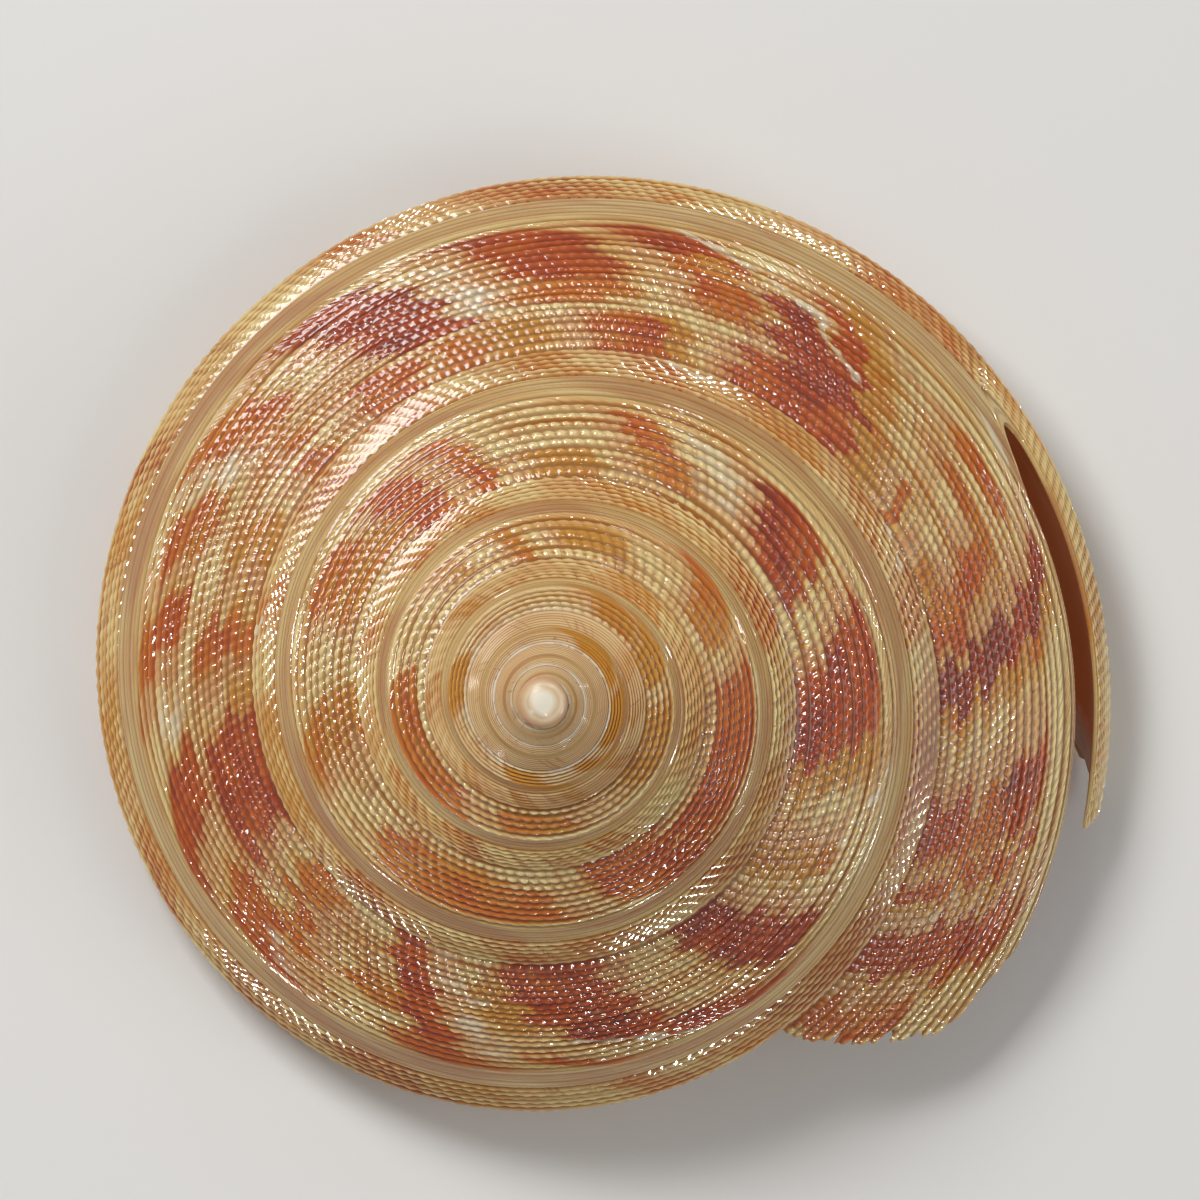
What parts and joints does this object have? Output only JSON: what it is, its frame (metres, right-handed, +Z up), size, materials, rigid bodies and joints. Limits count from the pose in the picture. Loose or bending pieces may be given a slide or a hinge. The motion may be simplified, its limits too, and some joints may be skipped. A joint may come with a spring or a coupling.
{
  "type": "slit shell",
  "caption": "Top-shaped spiral sea shell lying on its base, with beaded whorls, a wide mouth and an open slit in the outer lip.",
  "frame": {"origin": "middle of the base of the bounding box, on the surface that the shell rests on", "axes": "+Z up towards the apex, which leans 8 degrees to -X and -Y; +X towards the outer lip and the slit; +Y towards the back of the last turn"},
  "size_m": [0.08, 0.0736, 0.0489],
  "materials": {
    "shell": "cream shell with orange to brick-red flames, glossy beads and a pearly inside"
  },
  "bodies": {
    "root": {"shell": "shell"}
  },
  "joints": []
}
